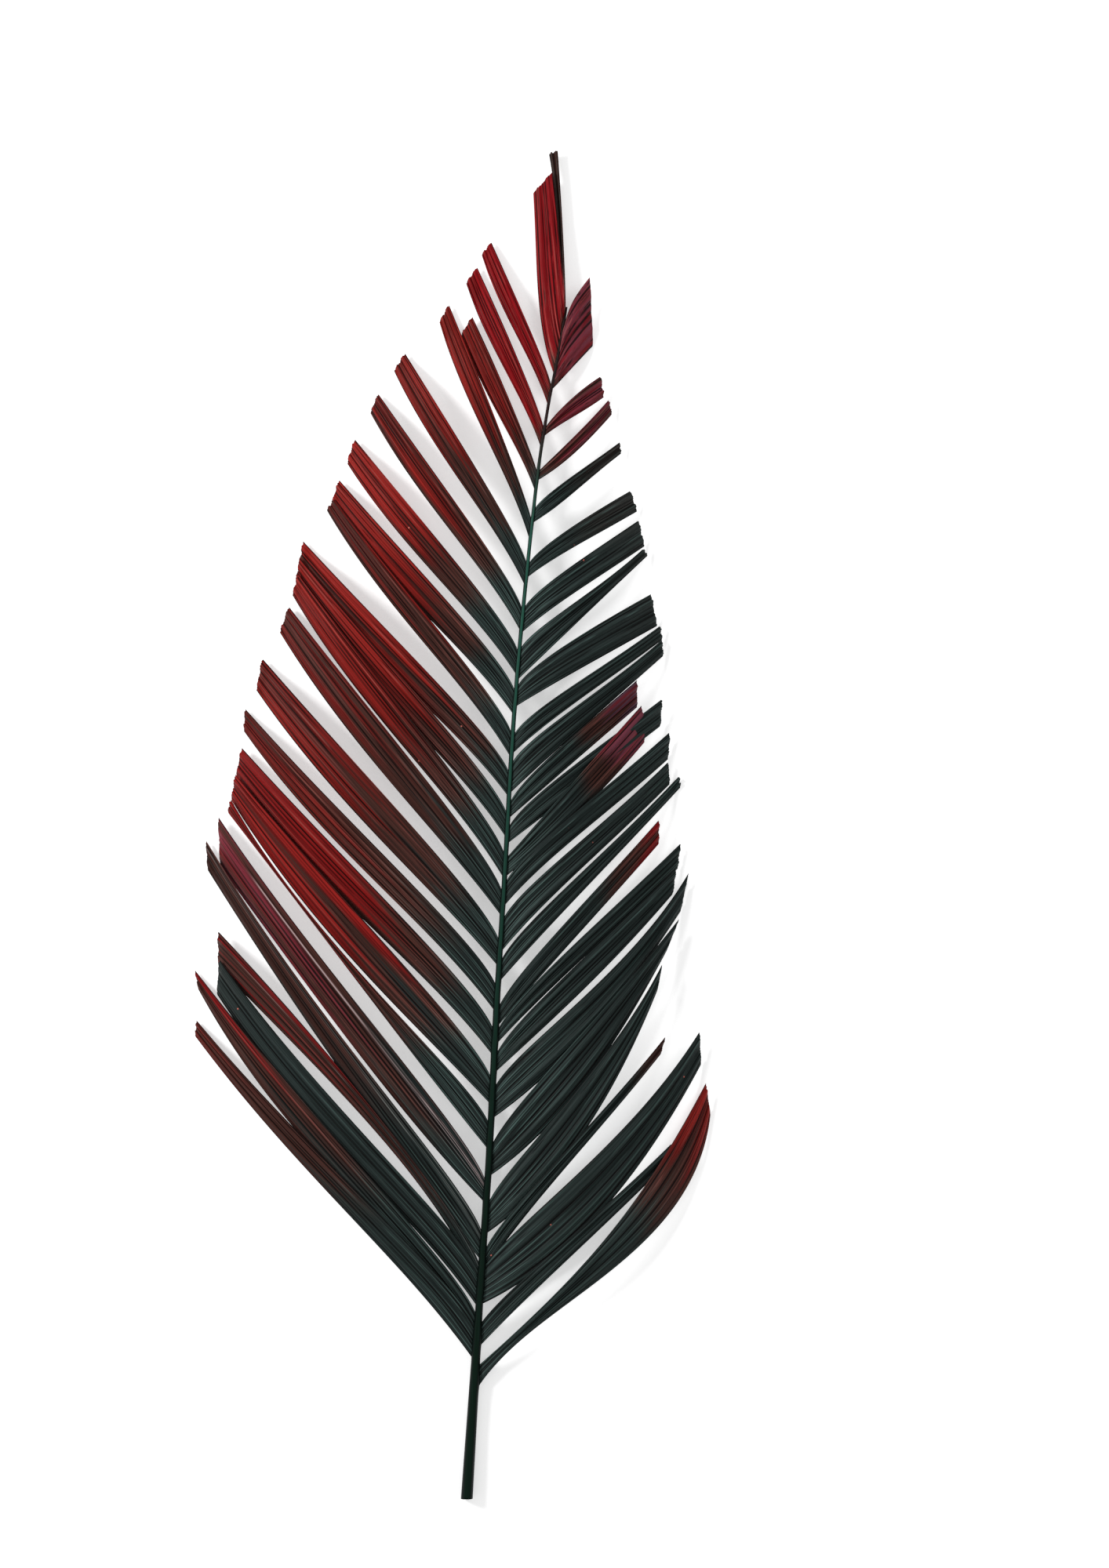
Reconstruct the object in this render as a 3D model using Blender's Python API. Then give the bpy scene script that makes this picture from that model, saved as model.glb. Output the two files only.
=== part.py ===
"""A preserved areca palm frond, cut and dyed, lying face up on a surface.

The frond is one grown body: a petiole and rachis that carry two rows of pleated leaflets. Sizes are in
millimetres, with x across the frond and y along it, both from the middle of its box, and z the height over
the surface that it lies on. Bearings are in degrees, clockwise from +Y.
"""

import math
import random
from typing import NamedTuple

import bmesh
import bpy
from mathutils import Vector

MM = 0.001
LEFT = -1
RIGHT = 1

# The rachis, from the cut end of the petiole to its tip, as (y, value) points on smooth curves.
CUT_END = -430
TIP_END = 330
RACHIS_X = ((-430, 9.5), (-299, 18), (-209, 24), (-119, 28.5), (-29, 34), (51, 38.5), (126, 44.5), (221, 54.5),
            (264, 61), (306, 69), (330, 73))
RACHIS_HALF_WIDTH = ((-430, 3.8), (-350, 3), (-299, 2.4), (-120, 2.1), (-60, 1.7), (126, 1.3), (264, 1), (330, 0.8))
UNDERSIDE = ((-430, 0), (-385, 0), (-330, 2.5), (-250, 7), (-150, 13), (-50, 17), (50, 18), (150, 16), (250, 11),
             (330, 6), (430, 3))
RACHIS_DEPTH = 1.25  # of its width
RACHIS_SIDES = 8
RACHIS_RINGS = 34
FLAT_END = -385  # the petiole lies flat on the surface from its cut end to here

# How far the leaflets reach sideways from the rachis, as (y, distance).
REACH = {
    LEFT: ((-430, 190), (-134, 190), (-5, 186), (63, 170), (147, 147), (201, 130), (290, 102), (317, 66), (372, 48),
           (430, 40)),
    RIGHT: ((-430, 142), (-185, 142), (-55, 118), (26, 104), (108, 94), (200, 69), (262, 44), (306, 26), (349, 20),
            (430, 20)),
}
EDGE_HEIGHT = 1.6  # of the blades' tips over the surface
LIFT = 9  # how much the blades rise between rachis and tip, where they reach LIFT_REACH
LIFT_REACH = 150

# The blades.
BLADE = 0.7  # thickness
LOUVRE = 14  # degrees by which a blade's upper margin is raised over its lower one
LOUVRE_SPREAD = 3  # either way, drawn for each blade
PLEAT = 0.65  # height of a pleat over the blade's middle surface
STRIPS = 4  # across a blade, two to a pleat
STATIONS = 7  # along it
SETTLE = 0.22  # share of a blade over which it turns from its root into its louvre and pleats
CUT_TOOTH = 1.1  # how far the cut end runs out and in from rib to rib
ROOT_INSET = 0.3  # of the rachis's half width, from its middle line to a blade's root
NEAR_HANDLE = 0.3  # Bezier handles, as shares of a margin's chord
HUG_HANDLE = {LEFT: 0.1, RIGHT: 0.13}  # where an upper margin leaves the rachis
FAR_HANDLE = 0.4
HUG = 14  # degrees off the rachis at which an upper margin leaves it
SEED = 11


class Leaflet(NamedTuple):
    """One leaflet's plan, where upper means towards the tip of the frond.

    Its lower margin leaves the rachis at root, and its upper margin further up by grip. Bearings are counted
    outwards from the lower margin's chord, apart from hug, where the upper margin leaves the rachis. Hold is
    that margin's first Bezier handle, if not its side's.
    """

    root: float
    grip: float
    upper_tip: tuple
    lower_tip: tuple
    leave: float = -6
    arrive: float = -6
    hug: float = HUG
    upper_arrive: float = 0
    hold: float = None


# From the tip of the frond down to the stalk.
LEFT_LEAFLETS = (
    Leaflet(287, 40, (64, 416), (52, 403), 14, -3, 4),
    Leaflet(267, 12, (25, 372), (19, 364), hug=18),
    Leaflet(240, 12, (16, 356), (9, 346), hug=18),
    Leaflet(212, 12, (13, 324), (6, 313), hug=20),
    Leaflet(181, 12, (-2, 332), (-8, 321), hug=16),
    Leaflet(152, 13, (-30, 301), (-37, 290)),
    Leaflet(123, 13, (-47, 275), (-52, 263)),
    Leaflet(95, 14, (-62, 246), (-67, 231)),
    Leaflet(70, 14, (-72, 220), (-77, 205)),
    Leaflet(43, 14, (-75, 208), (-80, 201)),
    Leaflet(18, 14, (-95, 181), (-98, 165)),
    Leaflet(-8, 14, (-97, 170), (-100, 155)),
    Leaflet(-34, 14, (-98, 160), (-102, 147)),
    Leaflet(-58, 14, (-104, 139), (-110, 123), -2),
    Leaflet(-90, 15, (-121, 106), (-125, 86), -2),
    Leaflet(-119, 15, (-132, 74), (-133, 60)),
    Leaflet(-147, 15, (-134, 49), (-138, 31)),
    Leaflet(-178, 15, (-138, 32), (-141, 16), 2, -8),
    Leaflet(-207, 15, (-141, 16), (-143, 8), 1, 1, upper_arrive=-8),
    Leaflet(-241, 12, (-149, 5), (-148, -27), 5, -1, upper_arrive=-4),
    Leaflet(-278, 16, (-157, -10), (-156, -29), 2, -2, upper_arrive=-4),
    Leaflet(-293, 10, (-149, -68), (-149, -91), -15, 6, upper_arrive=5),
    Leaflet(-308, 20, (-148, -86), (-150, -108), upper_arrive=-4),
    Leaflet(-329, 14, (-164, -93), (-162, -105), arrive=-9),
    Leaflet(-342, 20, (-163, -125), (-164, -135), arrive=-3),
)
RIGHT_LEAFLETS = (
    Leaflet(316, 10, (67.5, 430), (62, 428), hug=-7),
    Leaflet(277, 30, (88, 349), (90, 306), 0, 0, 0, -5, 0.5),
    Leaflet(247, 5, (95, 286), (97, 273), -6, -4),
    Leaflet(219, 6, (100, 271), (102, 262), 12, -8, 38, -8, 0.25),
    Leaflet(192, 8, (107, 244), (108, 237), 8, 0),
    Leaflet(157, 8, (114, 213), (118, 200), -6, 0),
    Leaflet(122, 15, (119, 194), (123, 178), -6, 0),
    Leaflet(92, 19, (122, 176), (125, 172), 0, 0),
    Leaflet(75, 12, (127, 147), (131, 127), -2, 0),
    Leaflet(45, 11, (133, 127), (134, 118), -6, 0),
    Leaflet(20, 18, (134, 118), (135, 108), -2, 0),
    Leaflet(4, 9, (118, 92), (118, 75), 0, 0),
    Leaflet(-12, 9, (134, 80), (133, 63), 0, 0),
    Leaflet(-33, 12, (121, 76), (123, 53), 6, -6, 38, -4, 0.2),
    Leaflet(-52, 14, (139, 59), (138, 42), -8, 0),
    Leaflet(-81, 20, (138, 40), (139, 26), -6, 0),
    Leaflet(-100, 12, (145, 31), (146, 24), -2, 0),
    Leaflet(-129, 11, (132, 3), (132, -12), -2, 0),
    Leaflet(-140, 7, (146, -12), (144, -28), -4, 0),
    Leaflet(-158, 10, (143, -28), (141, -44), 2, -4),
    Leaflet(-187, 18, (151, -31), (146, -55), 12, -9, upper_arrive=-12),
    Leaflet(-224, 18, (145, -60), (137, -80), 17, -10),
    Leaflet(-261, 18, (134, -89), (131, -105), 20, -13, upper_arrive=-8),
    Leaflet(-287, 14, (136, -135), (133, -146), -6, 0),
    Leaflet(-306, 24, (158, -132), (159, -153), 22, -14, 32, -10, 0.2),
    Leaflet(-334, 14, (140, -203), (134, -219), -3, 0, 24),
    Leaflet(-362, 16, (162, -165), (165, -185), -10, -34, 44, -12, 0.4),
)


def through(points, at):
    """The value at a station of a smooth curve through (station, value) points."""
    last = len(points) - 1
    at = min(max(at, points[0][0]), points[last][0])
    i = next(i for i in range(last) if at <= points[i + 1][0])
    (y0, v0), (y1, v1) = points[i], points[i + 1]
    before = points[max(i - 1, 0)]
    after = points[min(i + 2, last)]
    span = y1 - y0
    slope0 = (v1 - before[1]) / (y1 - before[0]) * span
    slope1 = (after[1] - v0) / (after[0] - y0) * span
    t = (at - y0) / span
    return (v0 * (1 + 2 * t) * (1 - t) ** 2 + slope0 * t * (1 - t) ** 2
            + v1 * t * t * (3 - 2 * t) - slope1 * t * t * (1 - t))


def rachis_point(y):
    return (through(RACHIS_X, y), y)


def rachis_height(y):
    """Of the middle of the rachis, whose lowest facet is its underside."""
    underside = 0 if y <= FLAT_END else through(UNDERSIDE, y)
    half_depth = through(RACHIS_HALF_WIDTH, y) * RACHIS_DEPTH
    return underside + half_depth * math.cos(math.pi / RACHIS_SIDES)


def bearing(start, end):
    return math.degrees(math.atan2(end[0] - start[0], end[1] - start[1]))


def step(degrees, length):
    """A plan step along a bearing."""
    return (length * math.sin(math.radians(degrees)), length * math.cos(math.radians(degrees)))


def margin(start, tip, leave, arrive, near):
    """The four Bezier points of a margin, from its first and last bearing."""
    chord = math.dist(start, tip)
    first = step(leave, chord * near)
    last = step(arrive, chord * FAR_HANDLE)
    return (start, (start[0] + first[0], start[1] + first[1]), (tip[0] - last[0], tip[1] - last[1]), tip)


def root_point(side, y):
    """Where a margin starts, inside the rachis on its own side."""
    return (through(RACHIS_X, y) + side * ROOT_INSET * through(RACHIS_HALF_WIDTH, y), y)


def lower_margin(side, leaf):
    start = root_point(side, leaf.root)
    chord = bearing(start, leaf.lower_tip)
    return margin(start, leaf.lower_tip, chord + side * leaf.leave, chord + side * leaf.arrive, NEAR_HANDLE)


def upper_margin(side, leaf):
    y = leaf.root + leaf.grip
    start = root_point(side, y)
    along = bearing(rachis_point(y - 5), rachis_point(y + 5))
    last = bearing(rachis_point(leaf.root), leaf.lower_tip) + side * leaf.upper_arrive
    return margin(start, leaf.upper_tip, along + side * leaf.hug, last, leaf.hold or HUG_HANDLE[side])


def on_bezier(points, t):
    weights = ((1 - t) ** 3, 3 * t * (1 - t) ** 2, 3 * t * t * (1 - t), t ** 3)
    return tuple(sum(w * p[axis] for w, p in zip(weights, points)) for axis in (0, 1))


def smooth(t):
    t = min(max(t, 0), 1)
    return t * t * (3 - 2 * t)


def crown(side, x, y):
    """The height of the surface that all the blades of one side follow."""
    reach = through(REACH[side], y)
    share = min(abs(x - through(RACHIS_X, y)) / reach, 1)
    arch = EDGE_HEIGHT + (rachis_height(y) - EDGE_HEIGHT) * (1 - share ** 2)
    return arch + LIFT * reach / LIFT_REACH * 4 * share * (1 - share)


def blade_point(side, leaf, lower, upper, louvre, across, along):
    """A point of a blade's middle surface, across and along from 0 to 1."""
    rib = round(across * STRIPS) % 2
    t = along - CUT_TOOTH * (1 - rib) / math.dist(leaf.upper_tip, rachis_point(leaf.root)) * smooth(along * 4 - 3)
    low = on_bezier(lower, t)
    high = on_bezier(upper, t)
    x = low[0] + (high[0] - low[0]) * across
    y = low[1] + (high[1] - low[1]) * across
    settled = smooth(along / SETTLE)
    width = math.dist(low, high)
    tilt = (across - 0.5) * width * math.tan(math.radians(louvre))
    z = crown(side, x, y) + settled * (tilt + PLEAT * (2 * rib - 1))
    return Vector((x, y, max(z, BLADE / 2)))


def tube_point(around, along):
    y = CUT_END + (TIP_END - CUT_END) * along
    angle = 2 * math.pi * (around + 0.5 / RACHIS_SIDES) - math.pi / 2
    half_width = through(RACHIS_HALF_WIDTH, y)
    return Vector((through(RACHIS_X, y) + half_width * math.cos(angle), y,
                   rachis_height(y) + half_width * RACHIS_DEPTH * math.sin(angle)))


def shaped_grid(name, columns, rows, place):
    """A mesh object from a grid of cells, each vertex placed by its shares across and along."""
    bm = bmesh.new()
    bmesh.ops.create_grid(bm, x_segments=columns, y_segments=rows, size=0.5)
    for vertex in bm.verts:
        vertex.co = place(vertex.co.x + 0.5, vertex.co.y + 0.5) * MM
    return bm, bpy.data.meshes.new(name)


def make_object(name, bm, mesh, collection, material):
    bm.to_mesh(mesh)
    bm.free()
    obj = bpy.data.objects.new(name, mesh)
    obj.data.materials.append(material)
    collection.objects.link(obj)
    return obj


def make_rachis(collection, material):
    bm, mesh = shaped_grid("frond", RACHIS_SIDES, RACHIS_RINGS, tube_point)
    bmesh.ops.remove_doubles(bm, verts=bm.verts, dist=1e-7)
    bmesh.ops.holes_fill(bm, edges=bm.edges, sides=RACHIS_SIDES)
    bmesh.ops.recalc_face_normals(bm, faces=bm.faces)
    return make_object("frond", bm, mesh, collection, material)


def make_blade(side, leaf, louvre, collection, material):
    lower = lower_margin(side, leaf)
    upper = upper_margin(side, leaf)
    bm, mesh = shaped_grid("blade", STRIPS, STATIONS,
                           lambda across, along: blade_point(side, leaf, lower, upper, louvre, across, along))
    bmesh.ops.triangulate(bm, faces=bm.faces, quad_method="FIXED")
    obj = make_object("blade", bm, mesh, collection, material)
    wall = obj.modifiers.new("wall", "SOLIDIFY")
    wall.thickness = BLADE * MM
    wall.offset = 0
    return obj


def stand_on_origin(mesh):
    """Moves the middle of the bottom of the mesh's box to the origin."""
    low = Vector([min(vertex.co[axis] for vertex in mesh.vertices) for axis in range(3)])
    high = Vector([max(vertex.co[axis] for vertex in mesh.vertices) for axis in range(3)])
    for vertex in mesh.vertices:
        vertex.co -= Vector(((low.x + high.x) / 2, (low.y + high.y) / 2, low.z))


def make_material():
    material = bpy.data.materials.new("dyed leaf")
    material.use_nodes = True
    shader = material.node_tree.nodes["Principled BSDF"]
    shader.inputs["Base Color"].default_value = (0.095, 0.025, 0.02, 1)
    shader.inputs["Roughness"].default_value = 0.45
    shader.inputs["Metallic"].default_value = 0
    return material


def main():
    for obj in list(bpy.data.objects):
        bpy.data.objects.remove(obj)
    scene = bpy.context.scene
    material = make_material()
    frond = make_rachis(scene.collection, material)

    blades = bpy.data.collections.new("blades")
    scene.collection.children.link(blades)
    draw = random.Random(SEED)
    for side, leaflets in ((LEFT, LEFT_LEAFLETS), (RIGHT, RIGHT_LEAFLETS)):
        for leaf in leaflets:
            louvre = LOUVRE + draw.uniform(-LOUVRE_SPREAD, LOUVRE_SPREAD)
            make_blade(side, leaf, louvre, blades, material)

    grown = frond.modifiers.new("grown together", "BOOLEAN")
    grown.operation = "UNION"
    grown.operand_type = "COLLECTION"
    grown.collection = blades
    grown.solver = "EXACT"
    bpy.context.view_layer.update()
    whole = bpy.data.meshes.new_from_object(frond.evaluated_get(bpy.context.evaluated_depsgraph_get()))
    stand_on_origin(whole)
    frond.modifiers.clear()
    frond.data = whole
    for obj in list(blades.objects):
        bpy.data.objects.remove(obj)
    bpy.data.collections.remove(blades)


main()
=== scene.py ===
"""A preserved areca palm frond, dyed red over green-black, lying face up.

Sizes of the frond are in millimetres, with x across it and y along it, both from the middle of
the paper plan that its leaflets are laid out on. Bearings are in degrees, clockwise from +Y.
Sizes around it are in metres.
"""

import math
import random
from typing import NamedTuple

import bmesh
import bpy
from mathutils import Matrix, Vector


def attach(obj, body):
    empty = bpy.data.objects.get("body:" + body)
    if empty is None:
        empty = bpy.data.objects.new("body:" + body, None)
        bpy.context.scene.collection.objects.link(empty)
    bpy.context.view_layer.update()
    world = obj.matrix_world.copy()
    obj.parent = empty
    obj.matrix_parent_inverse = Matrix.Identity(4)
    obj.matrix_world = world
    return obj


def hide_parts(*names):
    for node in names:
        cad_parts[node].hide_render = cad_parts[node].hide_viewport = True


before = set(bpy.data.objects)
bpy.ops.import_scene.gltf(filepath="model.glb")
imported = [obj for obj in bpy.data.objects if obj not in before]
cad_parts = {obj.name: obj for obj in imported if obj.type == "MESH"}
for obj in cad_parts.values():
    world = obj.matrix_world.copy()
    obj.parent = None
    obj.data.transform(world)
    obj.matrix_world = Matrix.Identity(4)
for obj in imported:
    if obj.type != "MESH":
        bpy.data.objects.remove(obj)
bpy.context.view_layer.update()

# The camera hangs straight over the frond, with a lens long enough to show it almost as a plan.
# The photo's long side spans 1 m of the plane in which the leaflets lie.
PHOTO_SPAN = 1.0
LEAF_PLANE = 0.006
VIEW_CENTRE = (0.0648, 0.0262)
FOCAL_LENGTH = 120
SENSOR = 36
FARTHEST = 20
lens = bpy.data.cameras.new("camera")
lens.lens = FOCAL_LENGTH
lens.sensor_width = SENSOR
lens.clip_end = FARTHEST
camera = bpy.data.objects.new("camera", lens)
camera.location = (*VIEW_CENTRE, LEAF_PLANE + PHOTO_SPAN * FOCAL_LENGTH / SENSOR)
bpy.context.scene.collection.objects.link(camera)
bpy.context.scene.camera = camera

# The table: a white sheet of paper, wide enough to fill every view. It glows a little, so that it
# stays white where the lamps don't reach it.
TABLE_REACH = 6
TABLE_GAP = 0.0002  # under the frond, so that the two share no plane
PAPER = (0.86, 0.86, 0.86, 1)
PAPER_ROUGHNESS = 0.9
PAPER_GLOW = 0.45
mesh = bpy.data.meshes.new("table")
bm = bmesh.new()
bmesh.ops.create_grid(bm, x_segments=1, y_segments=1, size=TABLE_REACH)
bmesh.ops.translate(bm, verts=bm.verts, vec=(0, 0, -TABLE_GAP))
bm.to_mesh(mesh)
bm.free()
table = bpy.data.objects.new("table", mesh)
bpy.context.scene.collection.objects.link(table)
paper = bpy.data.materials.new("white paper")
paper.use_nodes = True
paper_shader = paper.node_tree.nodes["Principled BSDF"]
paper_shader.inputs["Base Color"].default_value = PAPER
paper_shader.inputs["Roughness"].default_value = PAPER_ROUGHNESS
paper_shader.inputs["Emission Color"].default_value = (1, 1, 1, 1)
paper_shader.inputs["Emission Strength"].default_value = PAPER_GLOW
table.data.materials.append(paper)

# Studio light: a bright room, a soft box to the frond's left and a weaker, wider one opposite,
# both turned to its middle.
ROOM_LIGHT = 0.42
world = bpy.data.worlds.new("room")
world.use_nodes = True
world.node_tree.nodes["Background"].inputs["Color"].default_value = (1, 1, 1, 1)
world.node_tree.nodes["Background"].inputs["Strength"].default_value = ROOM_LIGHT
bpy.context.scene.world = world
bpy.context.scene.view_settings.view_transform = "Standard"


def add_soft_box(name, place, width, watts):
    """A square area light that faces the frond."""
    data = bpy.data.lights.new(name, "AREA")
    data.size = width
    data.energy = watts
    light = bpy.data.objects.new(name, data)
    light.location = place
    light.rotation_euler = (-Vector(place)).to_track_quat("-Z", "Y").to_euler()
    bpy.context.scene.collection.objects.link(light)


add_soft_box("soft box", place=(-2.0, 0.9, 1.5), width=0.6, watts=52)
add_soft_box("fill box", place=(1.7, 1.2, 1.4), width=1.2, watts=14)


# The petiole and rachis: one arched, tapering stalk that the leaflets grow from, flat under its
# cut end, with a fine groove along its top, and thicker where a leaflet's base wraps it. It is
# dyed with the leaves: dark at the foot, green higher up and red-black at the tip. Its flanks
# are darkened with painted shade.
MM = 0.001
PLAN_MIDDLE = Vector((0.656, -0.248, 0))  # in the plan, from its own middle to the origin
LEFT = -1
RIGHT = 1
CUT_END = -430
TIP_END = 330
FLAT_END = -385  # the petiole lies flat on the table from its cut end to here
# Its shape along y, as (y, value) points on smooth curves.
RACHIS_X = (
    (-430, 9.5), (-299, 18), (-209, 24), (-119, 28.5), (-29, 34), (51, 38.5), (126, 44.5),
    (221, 54.5), (264, 61), (306, 69), (330, 73),
)
RACHIS_HALF_WIDTH = (
    (-430, 3.8), (-350, 3), (-299, 2.4), (-120, 2.1), (-60, 1.7), (126, 1.3), (264, 1), (330, 0.8),
)
UNDERSIDE = (
    (-430, 0), (-385, 0), (-330, 2.5), (-250, 7), (-150, 13), (-50, 17), (50, 18), (150, 16),
    (250, 11), (330, 6), (430, 3),
)
RACHIS_DEPTH = 1.25  # of its width
FLATTENING = math.cos(math.pi / 8)  # how far down its half depth the flat underside lies
RACHIS_SIDES = 20
RACHIS_RINGS = 420
GROOVE_DEPTH = 0.1  # of the half width
GROOVE_WIDTH = 0.05  # as a drop of the sine of its angle from 1
BASE_SWELL = 0.16  # of the half width, where a leaflet's base wraps it
BASE_LENGTH = 6
MERGE = 1e-7  # in metres, under which the seam's vertices are one


def through(points, at):
    """The value at a station of a smooth curve through (station, value) points."""
    last = len(points) - 1
    at = min(max(at, points[0][0]), points[last][0])
    i = next(i for i in range(last) if at <= points[i + 1][0])
    (y0, v0), (y1, v1) = points[i], points[i + 1]
    before = points[max(i - 1, 0)]
    after = points[min(i + 2, last)]
    span = y1 - y0
    slope0 = (v1 - before[1]) / (y1 - before[0]) * span
    slope1 = (after[1] - v0) / (after[0] - y0) * span
    t = (at - y0) / span
    return (v0 * (1 + 2 * t) * (1 - t) ** 2 + slope0 * t * (1 - t) ** 2
            + v1 * t * t * (3 - 2 * t) - slope1 * t * t * (1 - t))


def rachis_point(y):
    """The middle of the rachis in the plan."""
    return (through(RACHIS_X, y), y)


def rachis_height(y):
    """The height of the middle of the rachis."""
    underside = 0 if y <= FLAT_END else through(UNDERSIDE, y)
    return underside + through(RACHIS_HALF_WIDTH, y) * RACHIS_DEPTH * FLATTENING


class Leaflet(NamedTuple):
    """One leaflet's plan and dye, where upper means towards the tip of the frond.

    Its lower margin leaves the rachis at root, and its upper margin further up by grip. Bearings
    are counted outwards from the lower margin's chord, apart from hug, where the upper margin
    leaves the rachis. Hold is how far the upper margin keeps to that bearing, as a share of its
    chord, if not its side's own. Red is how much red dye the blade has taken at its tip, and
    red_from the share of its length where it begins. Sheen is how pale the painted highlights on
    the ridges along its upper half are. Plum turns its red to crimson, at 0.5, and on to wine and
    purple, at 1.
    """

    root: float
    grip: float
    upper_tip: tuple
    lower_tip: tuple
    red: float
    red_from: float
    leave: float = -6
    arrive: float = -6
    hug: float = 14
    upper_arrive: float = 0
    hold: float = None
    sheen: float = 0
    plum: float = 0


# From the tip of the frond down to the stalk.
LEFT_LEAFLETS = (
    Leaflet(287, 40, (64, 416), (52, 403), 1.1, -0.4, 14, -3, 4, plum=0.5),
    Leaflet(267, 12, (25, 372), (19, 364), 1.2, -0.3, hug=18, plum=0.5),
    Leaflet(240, 12, (16, 356), (9, 346), 1.2, -0.3, hug=18, plum=0.45),
    Leaflet(212, 12, (13, 324), (6, 313), 0.9, -0.1, hug=20),
    Leaflet(181, 12, (-2, 332), (-8, 321), 1.05, 0.05, hug=16),
    Leaflet(152, 13, (-30, 301), (-37, 290), 0.95, 0.1),
    Leaflet(123, 13, (-47, 275), (-52, 263), 0.75, 0.1),
    Leaflet(95, 14, (-62, 246), (-67, 231), 1.15, 0.2),
    Leaflet(70, 14, (-72, 220), (-77, 205), 1.15, 0.15),
    Leaflet(43, 14, (-75, 208), (-80, 201), 0.75, 0.05),
    Leaflet(18, 14, (-95, 181), (-98, 165), 0.9, 0.0),
    Leaflet(-8, 14, (-97, 170), (-100, 155), 0.85, 0.05),
    Leaflet(-34, 14, (-98, 160), (-102, 147), 0.95, 0.1),
    Leaflet(-58, 14, (-104, 139), (-110, 123), 0.75, 0.1, -2),
    Leaflet(-90, 15, (-121, 106), (-125, 86), 0.85, 0.1, -2),
    Leaflet(-119, 15, (-132, 74), (-133, 60), 0.65, 0.1),
    Leaflet(-147, 15, (-134, 49), (-138, 31), 0.95, 0.1, plum=0.2),
    Leaflet(-178, 15, (-138, 32), (-141, 16), 0.95, 0.1, 2, -8, plum=0.1),
    Leaflet(-207, 15, (-141, 16), (-143, 8), 1.0, 0.2, 1, 1, upper_arrive=-8, plum=0.2),
    Leaflet(-241, 12, (-149, 5), (-148, -27), 0.75, 0.05, 5, -1, upper_arrive=-4,
            sheen=0.9, plum=0.7),
    Leaflet(-278, 16, (-157, -10), (-156, -29), 0.35, 0.2, 2, -2, upper_arrive=-4, sheen=0.3),
    Leaflet(-293, 10, (-149, -68), (-149, -91), 0.62, 0.05, -15, 6, upper_arrive=5,
            sheen=0.3, plum=0.4),
    Leaflet(-308, 20, (-148, -86), (-150, -108), 0.1, 0.6, upper_arrive=-4),
    Leaflet(-329, 14, (-164, -93), (-162, -105), 0.6, 0.3, arrive=-9, plum=0.3),
    Leaflet(-342, 20, (-163, -125), (-164, -135), 0.78, 0.35, arrive=-3),
)
RIGHT_LEAFLETS = (
    Leaflet(316, 10, (67.5, 430), (62, 428), 0.35, -0.4, hug=-7),
    Leaflet(277, 30, (88, 349), (90, 306), 1.05, -0.4, 0, 0, 0, -5, 0.5, plum=0.75),
    Leaflet(247, 5, (95, 286), (97, 273), 0.85, -0.3, -6, -4, plum=0.75),
    Leaflet(219, 6, (100, 271), (102, 262), 0.7, -0.2, 12, -8, 38, -8, 0.25, plum=0.75),
    Leaflet(192, 8, (107, 244), (108, 237), 0.12, 0.1, 8, 0),
    Leaflet(157, 8, (114, 213), (118, 200), 0.08, 0.1, -6, 0),
    Leaflet(122, 15, (119, 194), (123, 178), 0.06, 0.3, -6, 0),
    Leaflet(92, 19, (122, 176), (125, 172), 0.06, 0.3, 0, 0),
    Leaflet(75, 12, (127, 147), (131, 127), 0.05, 0.3, -2, 0),
    Leaflet(45, 11, (133, 127), (134, 118), 0.1, 0.6, -6, 0),
    Leaflet(20, 18, (134, 118), (135, 108), 0.05, 0.5, -2, 0),
    Leaflet(4, 9, (118, 92), (118, 75), 1.1, 0.5, 0, 0, plum=1),
    Leaflet(-12, 9, (134, 80), (133, 63), 0.02, 0.5, 0, 0),
    Leaflet(-33, 12, (121, 76), (123, 53), 1.5, 0.5, 6, -6, 38, -4, 0.2, plum=0.8),
    Leaflet(-52, 14, (139, 59), (138, 42), 0.02, 0.5, -8, 0),
    Leaflet(-81, 20, (138, 40), (139, 26), 0.02, 0.5, -6, 0),
    Leaflet(-100, 12, (145, 31), (146, 24), 0.02, 0.5, -2, 0),
    Leaflet(-129, 11, (132, 3), (132, -12), 1.5, 0.6, -2, 0, plum=0.4),
    Leaflet(-140, 7, (146, -12), (144, -28), 0.02, 0.5, -4, 0),
    Leaflet(-158, 10, (143, -28), (141, -44), 0.02, 0.5, 2, -4),
    Leaflet(-187, 18, (151, -31), (146, -55), 0.02, 0.5, 12, -9, upper_arrive=-12),
    Leaflet(-224, 18, (145, -60), (137, -80), 0.02, 0.5, 17, -10),
    Leaflet(-261, 18, (134, -89), (131, -105), 0.02, 0.5, 20, -13, upper_arrive=-8),
    Leaflet(-287, 14, (136, -135), (133, -146), 1.5, 0.75, -6, 0),
    Leaflet(-306, 24, (158, -132), (159, -153), 0.02, 0.5, 22, -14, 32, -10, 0.2),
    Leaflet(-334, 14, (140, -203), (134, -219), 0.05, 0.5, -3, 0, 24),
    Leaflet(-362, 16, (162, -165), (165, -185), 1.3, 0.52, -10, -34, 44, -12, 0.4),
)
SWELLINGS = [
    (leaf.root + leaf.grip / 2, side)
    for side, leaflets in ((LEFT, LEFT_LEAFLETS), (RIGHT, RIGHT_LEAFLETS))
    for leaf in leaflets
]


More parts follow.
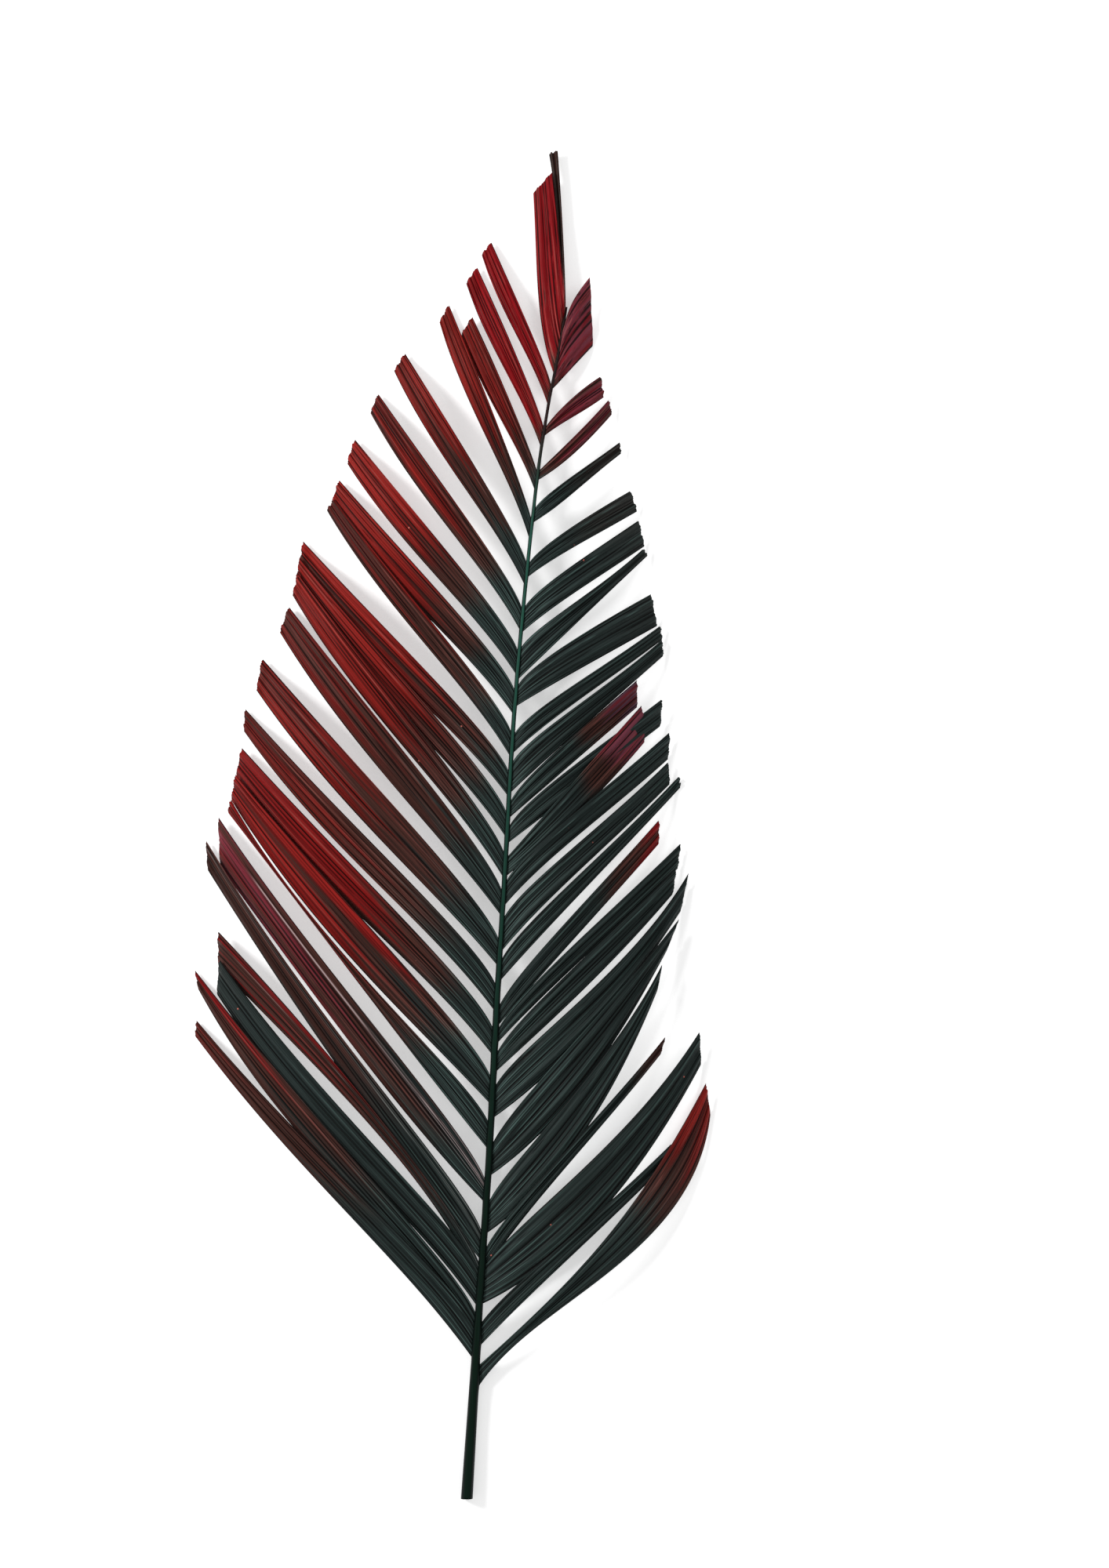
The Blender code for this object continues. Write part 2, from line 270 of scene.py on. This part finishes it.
def tube_point(around, along):
    """A point of the rachis's skin, around it from its underside and along it, from 0 to 1."""
    y = CUT_END + (TIP_END - CUT_END) * along
    angle = 2 * math.pi * around - math.pi / 2
    facing = math.cos(angle)
    wrapped = sum(max(facing * side, 0) * math.exp(-((y - at) / BASE_LENGTH) ** 2)
                  for at, side in SWELLINGS)
    groove = GROOVE_DEPTH * math.exp(-((math.sin(angle) - 1) / GROOVE_WIDTH) ** 2)
    half_width = through(RACHIS_HALF_WIDTH, y)
    radius = half_width * (1 + BASE_SWELL * wrapped - groove)
    height = rachis_height(y) + radius * RACHIS_DEPTH * math.sin(angle)
    lowest = rachis_height(y) - half_width * RACHIS_DEPTH * FLATTENING
    return Vector((through(RACHIS_X, y) + radius * facing, y, max(height, lowest)))


class Part:
    """A socket that takes part in shader sums, each of which adds its Math node."""

    def __init__(self, socket):
        self.socket = socket

    def sum(self, operation, *values):
        """The result of a Math operation on the values, in their order."""
        node = self.socket.id_data.nodes.new("ShaderNodeMath")
        node.operation = operation
        for slot, value in zip(node.inputs, values):
            feed(slot, value)
        return Part(node.outputs[0])

    def larger(self, other):
        return self.sum("MAXIMUM", self, other)

    def pingpong(self, height):
        """Up to the height and back, again and again."""
        return self.sum("PINGPONG", self, height)

    def __add__(self, other):
        return self.sum("ADD", self, other)

    def __sub__(self, other):
        return self.sum("SUBTRACT", self, other)

    def __mul__(self, other):
        return self.sum("MULTIPLY", self, other)

    def __rsub__(self, other):
        return self.sum("SUBTRACT", other, self)

    __radd__ = __add__
    __rmul__ = __mul__


def feed(slot, value):
    """Links a part to a node's input, or sets the input to a plain value."""
    if isinstance(value, Part):
        slot.id_data.links.new(value.socket, slot)
    else:
        slot.default_value = value


class Finish:
    """A material and the nodes that make it."""

    def __init__(self, name, gloss):
        self.material = bpy.data.materials.new(name)
        self.material.use_nodes = True
        self.tree = self.material.node_tree
        self.shader = self.tree.nodes["Principled BSDF"]
        self.shader.inputs["Specular IOR Level"].default_value = gloss

    def node(self, kind, settings=None, out=0, **inputs):
        """A node's output, where inputs are named by their sockets, with _ for a space."""
        node = self.tree.nodes.new("ShaderNode" + kind)
        for setting, value in (settings or {}).items():
            setattr(node, setting, value)
        for name, value in inputs.items():
            label = name.replace("_", " ")
            feed(next(slot for slot in node.inputs if slot.name == label and slot.enabled), value)
        return Part(node.outputs[out])

    def attribute(self, name):
        """The number that each vertex carries under that name."""
        return self.node("Attribute", {"attribute_name": name}, out=2)

    def blend(self, share, first, second):
        """From the first colour to the second."""
        return self.node("Mix", {"data_type": "RGBA"}, out=2, Factor=share, A=first, B=second)

    def ramp(self, value, low, high):
        """0 at low and 1 at high, eased between and level beyond."""
        return self.node("MapRange", {"interpolation_type": "SMOOTHSTEP"},
                         Value=value, From_Min=low, From_Max=high)

    def noise(self, vector, detail, roughness=0.5):
        return self.node("TexNoise", Vector=vector, Scale=1.0, Detail=detail, Roughness=roughness)

    def surface(self, colour, roughness, relief, depth):
        """The finished material, with relief from 0 to 1 standing as high as depth in metres."""
        feed(self.shader.inputs["Base Color"], colour)
        feed(self.shader.inputs["Roughness"], roughness)
        bump = self.node("Bump", Strength=1.0, Distance=depth, Height=relief)
        feed(self.shader.inputs["Normal"], bump)
        return self.material


FIBRES_ACROSS = 900  # per metre
FIBRES_ALONG = 14
FIBRE_DEPTH = 0.0002
FOOT_GREEN = (0.003, 0.012, 0.007, 1)
HIGH_GREEN = (0.02, 0.088, 0.062, 1)
GREENING = (-0.25, 0.2)  # from y to y, in metres
FIBRE_GREEN = (0.006, 0.02, 0.014, 1)
TIP_RED = (0.022, 0.009, 0.009, 1)
REDDENING = (0.18, 0.26)
# Painted shade: where the stalk faces sideways, its flanks are darkened almost to black.
PAINTED_FLANK_SHADE = (0.002, 0.005, 0.004, 1)

stalk = Finish("dyed stalk", gloss=0.08)
place = stalk.node("TexCoord", out=3)
x_place = stalk.node("SeparateXYZ", out=0, Vector=place)
y_place = stalk.node("SeparateXYZ", out=1, Vector=place)
stretched = stalk.node("CombineXYZ", X=x_place * FIBRES_ACROSS, Y=y_place * FIBRES_ALONG)
fibre = stalk.noise(stretched, detail=3.0)
# Painted shade on the flanks, broken up by the fibres.
flank_shade = stalk.ramp(stalk.attribute("flank_shade") + (fibre - 0.5) * 0.5, 0.35, 0.8)
green = stalk.blend(stalk.ramp(y_place, *GREENING), FOOT_GREEN, HIGH_GREEN)
green = stalk.blend(stalk.ramp(fibre, 0.5, 0.8), green, FIBRE_GREEN)
green = stalk.blend(stalk.ramp(y_place, *REDDENING), green, TIP_RED)
colour = stalk.blend(flank_shade, green, PAINTED_FLANK_SHADE)
roughness = stalk.ramp(fibre, 0.2, 0.8) * 0.2 + 0.32
rachis_finish = stalk.surface(colour, roughness, relief=fibre, depth=FIBRE_DEPTH)

bm = bmesh.new()
bmesh.ops.create_grid(bm, x_segments=RACHIS_SIDES, y_segments=RACHIS_RINGS, size=0.5)
# How far each vertex faces sideways, for the painted shade on the flanks.
flank_shade_layer = bm.verts.layers.float.new("flank_shade")
for vertex in bm.verts:
    vertex[flank_shade_layer] = abs(math.sin(2 * math.pi * vertex.co.x))
    vertex.co = (tube_point(vertex.co.x + 0.5, vertex.co.y + 0.5) - PLAN_MIDDLE) * MM
bmesh.ops.remove_doubles(bm, verts=bm.verts, dist=MERGE)
bmesh.ops.holes_fill(bm, edges=bm.edges, sides=RACHIS_SIDES)
bmesh.ops.recalc_face_normals(bm, faces=bm.faces)
for face in bm.faces:
    face.smooth = len(face.verts) == 4
mesh = bpy.data.meshes.new("rachis")
bm.to_mesh(mesh)
bm.free()
rachis = bpy.data.objects.new("rachis", mesh)
rachis.data.materials.append(rachis_finish)
bpy.context.scene.collection.objects.link(rachis)
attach(rachis, "root")
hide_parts("frond")


# The leaflets: long blades with two pleats and finer folds, each growing from the rachis, arching
# over and down to the table, with its upper margin raised over its neighbour. Their ends are cut
# and ragged, and red dye has run in from the tips over a green-black ground.
REACH = {  # of the leaflets sideways from the rachis, as (y, distance)
    LEFT: (
        (-430, 190), (-134, 190), (-5, 186), (63, 170), (147, 147), (201, 130), (290, 102),
        (317, 66), (372, 48), (430, 40),
    ),
    RIGHT: (
        (-430, 142), (-185, 142), (-55, 118), (26, 104), (108, 94), (200, 69), (262, 44),
        (306, 26), (349, 20), (430, 20),
    ),
}
EDGE_HEIGHT = 1.6  # of the tips over the table
LIFT = 9  # how much the blades rise between rachis and tip, where they reach LIFT_REACH
LIFT_REACH = 150
BLADE = 0.4  # thickness
LOUVRE = 14  # degrees by which a blade's upper margin is raised over its lower one
LOUVRE_SPREAD = 3  # either way, drawn for each blade
PLEATS = 2  # across a blade
PLEAT = 0.65  # height over the blade's middle surface
FOLDS = 4  # finer than the pleats and half a fold off them
FOLD = 0.28
COLUMNS = 24  # of faces across a blade
STATIONS = 70  # along it
SETTLE = 0.22  # share of a blade over which it turns from its root into its louvre and pleats
RED_RUN = 0.7  # share of a blade over which the red comes in
CUT_TOOTH = 0.8  # how far the cut end runs out and in from pleat to pleat
RAGGED = 0.7  # how far its fibres are torn out of line
CUT_PARTS = 8  # the cut bends the stations of the last one of so many parts of a blade
ROOT_INSET = 0.3  # of the rachis's half width, from its middle line to a blade's root
BEND_SPAN = 5  # either way along the rachis, to take its bearing from
NEAR_HANDLE = 0.3  # Bezier handles, as shares of a margin's chord
HUG_HANDLE = {LEFT: 0.1, RIGHT: 0.13}  # where an upper margin leaves the rachis
FAR_HANDLE = 0.4
SEED = 11


def bearing(start, end):
    return math.degrees(math.atan2(end[0] - start[0], end[1] - start[1]))


def step(degrees, length):
    """A plan step along a bearing."""
    turn = math.radians(degrees)
    return (length * math.sin(turn), length * math.cos(turn))


def margin(start, tip, leave, arrive, near):
    """The four Bezier points of a margin, from its first and last bearing."""
    chord = math.dist(start, tip)
    first = step(leave, chord * near)
    last = step(arrive, chord * FAR_HANDLE)
    return (start, (start[0] + first[0], start[1] + first[1]),
            (tip[0] - last[0], tip[1] - last[1]), tip)


def root_point(side, y):
    """Where a margin starts, inside the rachis on its own side."""
    return (through(RACHIS_X, y) + side * ROOT_INSET * through(RACHIS_HALF_WIDTH, y), y)


def lower_margin(side, leaf):
    start = root_point(side, leaf.root)
    chord = bearing(start, leaf.lower_tip)
    leave = chord + side * leaf.leave
    arrive = chord + side * leaf.arrive
    return margin(start, leaf.lower_tip, leave, arrive, NEAR_HANDLE)


def upper_margin(side, leaf):
    y = leaf.root + leaf.grip
    along_rachis = bearing(rachis_point(y - BEND_SPAN), rachis_point(y + BEND_SPAN))
    leave = along_rachis + side * leaf.hug
    arrive = bearing(rachis_point(leaf.root), leaf.lower_tip) + side * leaf.upper_arrive
    near = leaf.hold or HUG_HANDLE[side]
    return margin(root_point(side, y), leaf.upper_tip, leave, arrive, near)


def on_bezier(points, t):
    weights = ((1 - t) ** 3, 3 * t * (1 - t) ** 2, 3 * t * t * (1 - t), t ** 3)
    return tuple(sum(w * p[axis] for w, p in zip(weights, points)) for axis in (0, 1))


def smooth(t):
    """From 0 to 1, eased at both ends and level beyond them."""
    t = min(max(t, 0), 1)
    return t * t * (3 - 2 * t)


def crown(side, x, y):
    """The height of the surface that all the blades of one side follow."""
    reach = through(REACH[side], y)
    share = min(abs(x - through(RACHIS_X, y)) / reach, 1)
    arch = EDGE_HEIGHT + (rachis_height(y) - EDGE_HEIGHT) * (1 - share ** 2)
    return arch + LIFT * reach / LIFT_REACH * 4 * share * (1 - share)


def zigzag(turns):
    """From 0 up to 1 and back in each turn."""
    return 1 - abs((turns % 1) * 2 - 1)


BANDS = (3.6, 0.5)  # repeats of a pattern across a blade and along it
STREAKS = (9, 1.4)
VEINS = (24, 1.3)
HAIRLINES = (70, 3)
BREAKS = (3.5, 1.6)
PATCHES = (5, 5)
VEIN_DEPTH = 0.0005
# The ground and the dyes, each from the shade of a vein to its light.
GREEN_BLACK = ((0.009, 0.0145, 0.0135, 1), (0.03, 0.042, 0.04, 1))
BROWN = ((0.026, 0.012, 0.0095, 1), (0.085, 0.03, 0.023, 1))
DEEP_RED = ((0.07, 0.005, 0.004, 1), (0.17, 0.012, 0.009, 1))
BRIGHT_RED = ((0.18, 0.008, 0.006, 1), (0.34, 0.02, 0.015, 1))
CRIMSON = ((0.15, 0.002, 0.004, 1), (0.3, 0.004, 0.008, 1))
WINE_AND_PURPLE = ((0.11, 0.012, 0.018, 1), (0.12, 0.06, 0.09, 1))
# The stain over which one colour turns into the next.
BROWNING = (0.02, 0.27)
RED_STAIN = (0.48, 0.84)
BRIGHT_STAIN = (0.7, 1.2)
GLINT_STAIN = (0.1, 0.5)
# Painted highlights: pale lines along ridges and ribs, green-grey over the green and pink over the
# red.
PAINTED_GREEN_AND_RED_GLINT = ((0.12, 0.2, 0.18, 1), (0.42, 0.12, 0.1, 1))
# Painted sheen: the paler highlight on the ridges where a blade has sheen.
SHEEN_HIGHLIGHT = (0.5, 0.38, 0.38, 1)
# Painted shade: near-black lines in the creases along the blades.
CREASE_SHADE = (0.003, 0.002, 0.002, 1)
FLECK = (0.6, 0.16, 0.12, 1)
FLECK_CELLS = 95.0  # per metre, of which few hold a fleck

leaf_finish = Finish("dyed leaf", gloss=0.07)
ramp = leaf_finish.ramp
grain = leaf_finish.node("UVMap", {"uv_map": "leaf"})
across_leaf = leaf_finish.node("SeparateXYZ", out=0, Vector=grain)
along_leaf = leaf_finish.node("SeparateXYZ", out=1, Vector=grain)
dyed = leaf_finish.attribute("dye")
plum = leaf_finish.attribute("plum")
sheen = leaf_finish.attribute("sheen")
mark = leaf_finish.attribute("mark")


def pattern(repeats, detail, roughness=0.5):
    """Noise that runs along the blades and differs from blade to blade."""
    vector = leaf_finish.node("CombineXYZ", X=across_leaf * repeats[0], Y=along_leaf * repeats[1],
                              Z=mark * 50)
    return leaf_finish.noise(vector, detail, roughness)


bands = pattern(BANDS, detail=1.0)
streaks = pattern(STREAKS, detail=3.0, roughness=0.6)
veins = pattern(VEINS, detail=3.0, roughness=0.65)
hairlines = pattern(HAIRLINES, detail=2.0, roughness=0.6)
breaks = pattern(BREAKS, detail=2.0)
patches = pattern(PATCHES, detail=2.0)
track = across_leaf + (streaks - 0.5) * 0.05


def lines(count, core, edge, shift=0):
    """1 on lines that run along the blade, and 0 beyond their edge.

    Shift, core and edge are shares of the way from one line to the next.
    """
    return 1 - ramp((track * count + shift).pingpong(0.5), core, edge)


# The creases: painted shade in the colour, and sunk into the relief.
shaded_creases = lines(4, 0.03, 0.15, shift=0.5) * ramp(breaks, 0.42, 0.54)
shaded_creases = shaded_creases.larger(lines(2, 0.02, 0.075) * ramp(breaks, 0.6, 0.48))
shaded_creases = shaded_creases.larger(lines(7, 0.02, 0.17, shift=0.3) * ramp(patches, 0.5, 0.62) * 0.8)
# Ridges: raised in the relief and painted with highlights.
ridges = lines(4, 0.03, 0.14) * ramp(patches, 0.46, 0.66)
ridges = ridges.larger(lines(11, 0.05, 0.3) * ramp(breaks, 0.52, 0.66) * 0.6)
# Painted highlights on fine ribs near the root.
rib_highlights = lines(8, 0.03, 0.12, shift=0.5).larger(lines(5, 0.02, 0.09, shift=0.2))
near_root = 1 - ramp(along_leaf, 0.1, 0.6)

uneven = (bands - 0.5) * 1.6 + (streaks - 0.5) * 0.8 + (veins - 0.5) * 0.3
stain = dyed + uneven * ramp(dyed, 0, 0.5)
lit = ramp(veins, 0.3, 0.7)
green_black = leaf_finish.blend(lit, *GREEN_BLACK)
brown = leaf_finish.blend(lit, *BROWN)
deep_red = leaf_finish.blend(lit, *DEEP_RED)
bright_red = leaf_finish.blend(lit, *BRIGHT_RED)
crimson = leaf_finish.blend(lit, *CRIMSON)
purple = leaf_finish.blend(ramp(streaks, 0.34, 0.6), *WINE_AND_PURPLE)
red = leaf_finish.blend(ramp(stain, *BRIGHT_STAIN), deep_red, bright_red)
red = leaf_finish.blend(plum * 2, red, crimson)
red = leaf_finish.blend(plum * 2 - 1, red, purple)
colour = leaf_finish.blend(ramp(stain, *BROWNING), green_black, brown)
colour = leaf_finish.blend(ramp(stain, *RED_STAIN), colour, red)
# Painted glint, laid along the ridges and ribs as painted highlights.
painted_glint = leaf_finish.blend(ramp(stain, *GLINT_STAIN), *PAINTED_GREEN_AND_RED_GLINT)
painted_glint = leaf_finish.blend(sheen, painted_glint, SHEEN_HIGHLIGHT)
colour = leaf_finish.blend(ridges * (sheen * 0.5 + 0.35), colour, painted_glint)
colour = leaf_finish.blend(rib_highlights * near_root * ramp(streaks, 0.44, 0.56) * 0.7, colour, painted_glint)
# Painted shade: the creases darkened almost to black.
colour = leaf_finish.blend(shaded_creases * 0.92, colour, CREASE_SHADE)
place = leaf_finish.node("TexCoord", out=3)
grit = leaf_finish.node("TexVoronoi", out=0, Vector=place, Scale=FLECK_CELLS)
chance = leaf_finish.node("TexVoronoi", out=1, Vector=place, Scale=FLECK_CELLS)
fleck = (1 - ramp(grit, 0.03, 0.07)) * ramp(chance, 0.78, 0.8)
colour = leaf_finish.blend(fleck, colour, FLECK)
roughness = ramp(veins, 0.2, 0.8) * 0.2 + 0.34
relief = veins * 0.6 + hairlines * 0.4 + ridges * 0.3 - shaded_creases
leaf_material = leaf_finish.surface(colour, roughness, relief, VEIN_DEPTH)


def grow_side(name, side, leaflets, draw):
    """One side's leaflets as a piece, each a grid laid between its two margins.

    Each blade keeps its across and along in its UV map, and its dye and painted sheen in
    attributes, with a mark of its own that sets its patterns apart.
    """
    bm = bmesh.new()
    bm.loops.layers.uv.new("leaf")
    dye = bm.verts.layers.float.new("dye")
    plum = bm.verts.layers.float.new("plum")
    sheen = bm.verts.layers.float.new("sheen")
    mark = bm.verts.layers.float.new("mark")
    for leaf in leaflets:
        louvre = math.tan(math.radians(LOUVRE + draw.uniform(-LOUVRE_SPREAD, LOUVRE_SPREAD)))
        own = random.Random(leaf.root)
        own_mark = own.random()
        ragged = [own.uniform(0, RAGGED) for _ in range(COLUMNS + 1)]
        lower = lower_margin(side, leaf)
        upper = upper_margin(side, leaf)
        length = math.dist(leaf.upper_tip, rachis_point(leaf.root))
        blade = bmesh.ops.create_grid(bm, x_segments=COLUMNS, y_segments=STATIONS, size=0.5,
                                      calc_uvs=True)
        for vertex in blade["verts"]:
            across = vertex.co.x + 0.5
            along = vertex.co.y + 0.5
            pleat = zigzag(across * PLEATS)
            fold = zigzag(across * FOLDS + 0.5)
            cut = CUT_TOOTH * (0.5 - pleat) + ragged[round(across * COLUMNS)] - RAGGED / 2
            t = along - cut / length * smooth(along * CUT_PARTS - (CUT_PARTS - 1))
            low = on_bezier(lower, t)
            high = on_bezier(upper, t)
            x = low[0] + (high[0] - low[0]) * across
            y = low[1] + (high[1] - low[1]) * across
            tilt = (across - 0.5) * math.dist(low, high) * louvre
            relief = PLEAT * (2 * pleat - 1) + FOLD * (2 * fold - 1)
            z = max(crown(side, x, y) + smooth(along / SETTLE) * (tilt + relief), BLADE / 2)
            vertex.co = (Vector((x, y, z)) - PLAN_MIDDLE) * MM
            vertex[dye] = leaf.red * smooth((along - leaf.red_from) / RED_RUN)
            vertex[plum] = leaf.plum
            # Painted sheen highlight, on the blade's upper half.
            vertex[sheen] = leaf.sheen * smooth(3 * across - 1.2)
            vertex[mark] = own_mark
    for face in bm.faces:
        face.smooth = True
    mesh = bpy.data.meshes.new(name)
    bm.to_mesh(mesh)
    bm.free()
    piece = bpy.data.objects.new(name, mesh)
    piece.data.materials.append(leaf_material)
    bpy.context.scene.collection.objects.link(piece)
    wall = piece.modifiers.new("wall", "SOLIDIFY")
    wall.thickness = BLADE * MM
    wall.offset = 0
    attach(piece, "root")
    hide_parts("frond")


louvres = random.Random(SEED)
grow_side("left_leaflets", LEFT, LEFT_LEAFLETS, louvres)
grow_side("right_leaflets", RIGHT, RIGHT_LEAFLETS, louvres)
